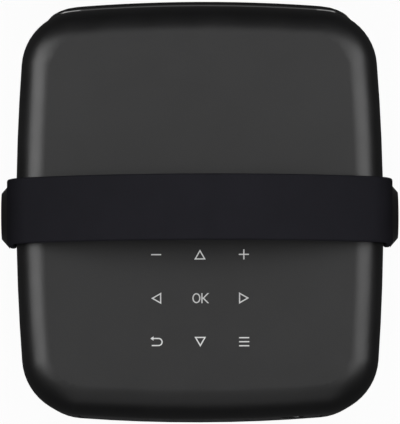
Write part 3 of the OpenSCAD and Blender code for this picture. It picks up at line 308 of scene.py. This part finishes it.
def phosphor(name):
    """Yellow phosphor over a grid of lamp dies."""
    yellow = (0.85, 0.62, 0.08)
    between = (0.6, 0.42, 0.06)
    paint = Paint(name, yellow, roughness=0.6)
    squares = paint.cells(size_mm=2.0, distance="CHEBYCHEV")
    gaps = paint.ranged(squares, span=(0.4, 0.48), values=RISING)
    paint.tint(gaps, yellow, between)
    paint.bump(gaps, depth_mm=0.1)
    return paint.material


def light_guide(name):
    """Milky clear plastic."""
    paint = Paint(
        name, (0.8, 0.82, 0.84), roughness=0.25, transmission_weight=0.6, ior=1.49)
    cloud = paint.noise(size_mm=1.0, detail=3.0)
    paint.vary("Roughness", cloud, span=MIDDLE, values=(0.2, 0.4))
    return paint.material


COVER = moulded(
    "cover_plastic", (0.004, 0.004, 0.0043), roughness=0.38, grain_mm=0.5, depth_mm=0.03, spread=0.02)
DARK = moulded("dark_plastic", (0.03, 0.03, 0.032), roughness=0.5, grain_mm=0.6, depth_mm=0.04)
STRAP = moulded(
    "strap_rubber", (0.0135, 0.0132, 0.017), roughness=0.75, grain_mm=0.35, depth_mm=0.03, spread=0.04,
    specular_ior_level=0.05)
SOCKET_BLACK = moulded(
    "socket_black", (0.02, 0.02, 0.021), roughness=0.45, grain_mm=0.4, depth_mm=0.02)
FEET = moulded(
    "foot_rubber", (0.012, 0.012, 0.012), roughness=0.75, grain_mm=0.8, depth_mm=0.06,
    specular_ior_level=0.3)
FERRITE = moulded("magnet_iron", (0.05, 0.05, 0.055), roughness=0.45, grain_mm=0.9, depth_mm=0.05)
GLOSS = polished("gloss_black", (0.007, 0.007, 0.0074), roughness=0.18)
SENSOR = polished("sensor_glass", (0.02, 0.002, 0.003), roughness=0.06)
BEZEL = lipped("bezel_satin", (0.006, 0.006, 0.0063), satin=0.6, gloss=0.12)
STEEL = brushed("steel", (0.55, 0.55, 0.56), roughness=0.32, axis="X")
ALLOY = brushed("alloy", (0.7, 0.71, 0.73), roughness=0.38, axis="Y", pitch_mm=0.8)
BRASS = brushed("brass", (0.72, 0.5, 0.2), roughness=0.3, axis="Z", pitch_mm=0.4)
GOLD = brushed("gold_plate", (0.85, 0.6, 0.22), roughness=0.22, axis="Y", pitch_mm=0.3)
WINDOW = lens_glass("window_glass", (0.98, 0.99, 1.0), film_nm=0.0)
COATED = lens_glass("coated_glass", (0.93, 0.96, 1.0), film_nm=480.0)
PLATE_GLASS = lens_glass("plate_glass", (0.95, 0.98, 0.97), film_nm=0.0)
BOARD = circuit_board("board")
FOAM = foam("filter_foam")
CONE = paper_cone("speaker_paper")
INK = ink("legend_ink", tone=0.8)
GREY_INK = ink("button_ink", tone=0.12)
PHOSPHOR = phosphor("lamp_phosphor")
GUIDE = light_guide("light_guide")

# The nodes that wear each material
WEARS = {
    COVER: ["top_cover", "bottom_cover", "intake_grille"],
    DARK: [
        "rear_panel", "speaker_grilles", "audio_socket", "engine_base", "engine_cover", "lens_mount",
        "lens_barrel", "focus_ring", "exhaust_frame", "exhaust_rotor", "intake_frame", "intake_rotor",
        "main_chips", "power_components", "pivot_washers"],
    STRAP: ["handle_strap"],
    FEET: ["rubber_feet"],
    BEZEL: ["front_bezel"],
    GLOSS: ["lens_trim", "pivot_caps", "power_button", "mains_inlet", "lcd_panel"],
    SENSOR: ["sensor_windows"],
    STEEL: [
        "case_screws", "hdmi_sockets", "usb_sockets", "speaker_frames", "pivot_bushes", "pivot_screws",
        "handle_brackets", "engine_screws", "focus_clip", "focus_motor", "board_screws"],
    ALLOY: ["heat_sink", "lamp_board"],
    BRASS: ["tripod_insert", "focus_pinion"],
    FERRITE: ["speaker_magnets"],
    WINDOW: ["lens_window"],
    COATED: ["front_element", "rear_element"],
    PLATE_GLASS: ["front_field_lens", "rear_field_lens", "condenser_lens"],
    BOARD: [
        "touch_board", "sensor_modules", "socket_board", "button_switch", "main_board", "power_board"],
    FOAM: ["dust_filter"],
    CONE: ["speaker_cones"],
    INK: ["key_legends"],
    PHOSPHOR: ["lamp_emitter"],
    GUIDE: ["status_light"],
}


def wear(obj, material):
    """Give an object one material."""
    obj.data.materials.clear()
    obj.data.materials.append(material)


for material, names in WEARS.items():
    for name in names:
        wear(nodes[name], material)


# Curved panels, shaded smoothly across all but their sharp edges
CRISP_ANGLE = math.radians(24)
WELD_DISTANCE = 0.004 * MM
FULL_WEIGHT = 100
CURVED_PANELS = (
    "top_cover", "bottom_cover", "front_bezel", "rear_panel", "speaker_grilles", "handle_strap")


def smoothing_group():
    """Nodes that join a panel's faces, shade them smoothly and keep its sharp edges crisp."""
    group = bpy.data.node_groups.new("smooth_panels", "GeometryNodeTree")
    for way in ("INPUT", "OUTPUT"):
        group.interface.new_socket("Geometry", in_out=way, socket_type="NodeSocketGeometry")
    make = group.nodes.new
    link = group.links.new
    merge = make("GeometryNodeMergeByDistance")
    merge.inputs["Distance"].default_value = WELD_DISTANCE
    plain = make("GeometryNodeRemoveAttribute")
    plain.inputs["Name"].default_value = "custom_normal"
    smooth = make("GeometryNodeSetShadeSmooth")
    crisp = make("GeometryNodeSetShadeSmooth")
    crisp.domain = "EDGE"
    crisp.inputs["Shade Smooth"].default_value = False
    turn = make("GeometryNodeInputMeshEdgeAngle")
    over = make("FunctionNodeCompare")
    over.operation = "GREATER_THAN"
    over.inputs["B"].default_value = CRISP_ANGLE
    link(turn.outputs["Unsigned Angle"], over.inputs["A"])
    link(over.outputs["Result"], crisp.inputs["Selection"])
    chain = [make("NodeGroupInput"), merge, plain, smooth, crisp, make("NodeGroupOutput")]
    for before, after in zip(chain, chain[1:]):
        link(before.outputs["Geometry"], after.inputs["Geometry"])
    return group


def smooth_panel(obj, group):
    """Shade a panel smoothly, with its flat faces kept flat."""
    joined = obj.modifiers.new("joined", "NODES")
    joined.node_group = group
    weighted = obj.modifiers.new("weighted", "WEIGHTED_NORMAL")
    weighted.keep_sharp = True
    weighted.weight = FULL_WEIGHT


smoothing = smoothing_group()
for name in CURVED_PANELS:
    smooth_panel(nodes[name], smoothing)


# Contacts inside the sockets and the mark on the button, in millimetres
CONTACT_T = 0.2
CONTACT_SUNK = 0.08
CONTACT_CHAMFER = 0.05
CONTACT_W_TO_PITCH = 0.5
CONTACT_L_TO_TONGUE = 0.8
TONGUE_CHAMFER = 0.2

# A mouth is given by its middle in X and its back wall in Y.
# A row is given by its side of the tongue, above or below, and its number of contacts.
VIDEO_MOUTHS = ((-46, 90.675), (-28, 91.509))
VIDEO_Z = 21.0
VIDEO_TONGUE = (10.6, 7.5, 1.1)
VIDEO_ROWS = ((1, 10), (-1, 9))
VIDEO_PITCH = 1.0
DATA_MOUTHS = ((-10, 89.94), (7, 89.97))
DATA_Z = 22.6
DATA_TONGUE = (11.0, 9.5, 1.8)
DATA_ROWS = ((-1, 4),)
DATA_PITCH = 2.3

# Middle of the button's face, and the mark printed round it
BUTTON_FACE = (-46, 102.73, 94)
MARK_DEPTH = 0.1
MARK_INNER_R = 2.2
MARK_OUTER_R = 2.7
MARK_GAP_HALF_ANGLE = 32
MARK_STEPS = 40
MARK_BAR_W = 0.5
MARK_BAR_L = 2.4
MARK_BAR_RISE = 1.9
MARK_CHAMFER = 0.02


def add_piece(name, mesh_edit, material, body):
    """A new piece from an edited mesh, which moves with a body."""
    mesh = bpy.data.meshes.new(name)
    mesh_edit.to_mesh(mesh)
    mesh_edit.free()
    obj = bpy.data.objects.new(name, mesh)
    bpy.context.scene.collection.objects.link(obj)
    wear(obj, material)
    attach(obj, body)


def add_bar(mesh_edit, middle, size, chamfer):
    """A bar with its edges rounded in two steps."""
    made = bmesh.ops.create_cube(mesh_edit, size=1.0)["verts"]
    for vert in made:
        vert.co = Vector([(m + c * s) * MM for m, c, s in zip(middle, vert.co, size)])
    edges = list({edge for vert in made for edge in vert.link_edges})
    bmesh.ops.bevel(
        mesh_edit, geom=edges, offset=chamfer * MM, segments=2, profile=0.5, affect="EDGES")


def add_tongue(name, x, back_y, z, size, rows, pitch):
    """Tongue of a socket and its rows of spring contacts."""
    _, length, thickness = size
    middle_y = back_y + length / 2
    tongue = bmesh.new()
    add_bar(tongue, (x, middle_y, z), size, TONGUE_CHAMFER)
    add_piece(name + "_tongue", tongue, SOCKET_BLACK, BODY)
    contact = (pitch * CONTACT_W_TO_PITCH, length * CONTACT_L_TO_TONGUE, CONTACT_T)
    contacts = bmesh.new()
    for side, count in rows:
        at_z = z + side * (thickness / 2 + CONTACT_T / 2 - CONTACT_SUNK)
        for i in range(count):
            at_x = x + (i - (count - 1) / 2) * pitch
            add_bar(contacts, (at_x, middle_y, at_z), contact, CONTACT_CHAMFER)
    add_piece(name + "_contacts", contacts, GOLD, BODY)


def add_ring_arc(mesh_edit, centre, inner, outer, depth, start, end, steps):
    """Part of a flat ring facing the rear, closed all round."""
    corners = [(inner, 0), (outer, 0), (outer, depth), (inner, depth)]
    rings = []
    for i in range(steps + 1):
        angle = math.radians(start + (end - start) * i / steps)
        ring = []
        for radius, y in corners:
            reach = (radius * math.sin(angle), y, radius * math.cos(angle))
            point = Vector([middle + step for middle, step in zip(centre, reach)])
            ring.append(mesh_edit.verts.new(point * MM))
        rings.append(ring)
    for before, after in zip(rings, rings[1:]):
        for k in range(len(corners)):
            following = (k + 1) % len(corners)
            mesh_edit.faces.new((before[k], before[following], after[following], after[k]))
    mesh_edit.faces.new(rings[0][::-1])
    mesh_edit.faces.new(rings[-1])


def add_power_mark():
    """Open ring with a bar, printed on the power button."""
    x, y, z = BUTTON_FACE
    start = MARK_GAP_HALF_ANGLE
    mark = bmesh.new()
    add_ring_arc(
        mark, BUTTON_FACE, MARK_INNER_R, MARK_OUTER_R, MARK_DEPTH, start, 360 - start, MARK_STEPS)
    bar_middle = (x, y + MARK_DEPTH / 2, z + MARK_BAR_RISE)
    add_bar(mark, bar_middle, (MARK_BAR_W, MARK_DEPTH, MARK_BAR_L), MARK_CHAMFER)
    bmesh.ops.recalc_face_normals(mark, faces=mark.faces)
    add_piece("power_mark", mark, GREY_INK, BUTTON_BODY)


for i, (x, back_y) in enumerate(VIDEO_MOUTHS):
    add_tongue(f"video_{i}", x, back_y, VIDEO_Z, VIDEO_TONGUE, VIDEO_ROWS, VIDEO_PITCH)
for i, (x, back_y) in enumerate(DATA_MOUTHS):
    add_tongue(f"data_{i}", x, back_y, DATA_Z, DATA_TONGUE, DATA_ROWS, DATA_PITCH)
add_power_mark()


# Floor, surroundings, lamps and camera, in metres and watts
FLOOR_SIZE = 12.0
FLOOR_ROUGHNESS = 0.9
WHITE = (1, 1, 1, 1)

# Shares of white: the floor as seen, its bounced light and its glow, the surroundings, reflections
FLOOR_SEEN = 0.85
FLOOR_BOUNCE = 0.03
FLOOR_GLOW = 0.95
WORLD_LIGHT = 0.05
REFLECTED = 0.02

LAMP_AIM = (0, 0, 120 * MM)
FILL_REACH = 1.3
FILL_SIZE = (1.6, 0.8)
FILL_POWER = 16.0

CAMERA_AIM = Vector((-0.09 * MM, -0.1 * MM, 117 * MM))
CAMERA_DISTANCE = 2.5
CAMERA_TILT = math.radians(3.26)
CAMERA_ROLL = math.radians(0.2)
PIXELS_WIDE = 400
MM_PER_PIXEL = 0.5


def seen_white(tree, reflected):
    """How white a surface looks: 1 to the camera and through glass, less in reflections."""
    path = tree.nodes.new("ShaderNodeLightPath")
    clear = tree.nodes.new("ShaderNodeMath")
    clear.operation = "MAXIMUM"
    tree.links.new(path.outputs["Is Camera Ray"], clear.inputs[0])
    tree.links.new(path.outputs["Is Transmission Ray"], clear.inputs[1])
    share = tree.nodes.new("ShaderNodeMath")
    share.operation = "MULTIPLY_ADD"
    share.use_clamp = True
    tree.links.new(path.outputs["Is Glossy Ray"], share.inputs[0])
    share.inputs[1].default_value = reflected
    tree.links.new(clear.outputs["Value"], share.inputs[2])
    return share.outputs["Value"]


def floor_material():
    """Pale floor that looks white from the camera and keeps a faint shadow."""
    material = bpy.data.materials.new("studio_floor")
    material.use_nodes = True
    tree = material.node_tree
    surface = tree.nodes["Principled BSDF"]
    surface.inputs["Roughness"].default_value = FLOOR_ROUGHNESS
    tone = tree.nodes.new("ShaderNodeMapRange")
    tone.inputs["To Min"].default_value = FLOOR_BOUNCE
    tone.inputs["To Max"].default_value = FLOOR_SEEN
    tree.links.new(seen_white(tree, reflected=0.0), tone.inputs["Value"])
    tree.links.new(tone.outputs["Result"], surface.inputs["Base Color"])
    share = tree.nodes.new("ShaderNodeMath")
    share.operation = "MULTIPLY"
    share.inputs[1].default_value = FLOOR_GLOW
    tree.links.new(seen_white(tree, REFLECTED), share.inputs[0])
    glow = tree.nodes.new("ShaderNodeEmission")
    mix = tree.nodes.new("ShaderNodeMixShader")
    tree.links.new(share.outputs["Value"], mix.inputs["Fac"])
    tree.links.new(surface.outputs["BSDF"], mix.inputs[1])
    tree.links.new(glow.outputs["Emission"], mix.inputs[2])
    tree.links.new(mix.outputs["Shader"], tree.nodes["Material Output"].inputs["Surface"])
    return material


def make_floor():
    """One large square on which the object stands."""
    half = FLOOR_SIZE / 2
    corners = [(-half, -half, 0), (half, -half, 0), (half, half, 0), (-half, half, 0)]
    mesh = bpy.data.meshes.new("studio_floor")
    mesh.from_pydata(corners, [], [(0, 1, 2, 3)])
    floor = bpy.data.objects.new("studio_floor", mesh)
    bpy.context.scene.collection.objects.link(floor)
    wear(floor, floor_material())


def make_world():
    """Dim surroundings that look white from the camera."""
    world = bpy.data.worlds.new("studio")
    world.use_nodes = True
    tree = world.node_tree
    background = tree.nodes["Background"]
    background.inputs["Color"].default_value = WHITE
    level = tree.nodes.new("ShaderNodeMapRange")
    level.inputs["To Min"].default_value = WORLD_LIGHT
    tree.links.new(seen_white(tree, REFLECTED), level.inputs["Value"])
    tree.links.new(level.outputs["Result"], background.inputs["Strength"])
    bpy.context.scene.world = world


def area_lamp(name, place, size, power, aim=LAMP_AIM):
    """A rectangular softbox that faces a point."""
    light = bpy.data.lights.new(name, "AREA")
    light.shape = "RECTANGLE"
    light.size, light.size_y = size
    light.energy = power
    lamp = bpy.data.objects.new(name, light)
    lamp.location = place
    lamp.rotation_euler = (Vector(aim) - Vector(place)).to_track_quat("-Z", "Y").to_euler()
    bpy.context.scene.collection.objects.link(lamp)
    return lamp


def make_lamps():
    """Softboxes above and behind, cards at the sides for the gloss, fills for the dull surfaces."""
    area_lamp("overhead", place=(0, -0.23, 1.5), size=(1.0, 1.04), power=2.45, aim=(0, -0.23, 0))
    area_lamp("rear", place=(0, 1.06, 1.27), size=(1.0, 1.5), power=2.3)
    cards = (
        area_lamp("left_card", place=(1.0, -0.26, 1.09), size=(1.0, 1.24), power=16.2),
        area_lamp("right_card", place=(-0.96, -0.22, 1.12), size=(1.0, 1.28), power=13.5))
    for card in cards:
        card.visible_diffuse = False
    for name, side in (("front_fill", -1), ("rear_fill", 1)):
        fill = area_lamp(name, (0, side * FILL_REACH, FILL_REACH), FILL_SIZE, FILL_POWER)
        fill.visible_glossy = False


def make_camera():
    """Camera high above the top, tilted a little, with a long lens."""
    data = bpy.data.cameras.new("camera")
    data.sensor_fit = "HORIZONTAL"
    data.lens = data.sensor_width * CAMERA_DISTANCE / (PIXELS_WIDE * MM_PER_PIXEL * MM)
    camera = bpy.data.objects.new("camera", data)
    camera.rotation_euler = Euler((CAMERA_TILT, 0, math.pi - CAMERA_ROLL))
    away = camera.rotation_euler.to_matrix() @ Vector((0, 0, 1))
    camera.location = CAMERA_AIM + CAMERA_DISTANCE * away
    bpy.context.scene.collection.objects.link(camera)
    bpy.context.scene.camera = camera


make_floor()
make_world()
make_lamps()
make_camera()
bpy.context.scene.view_settings.view_transform = "Standard"
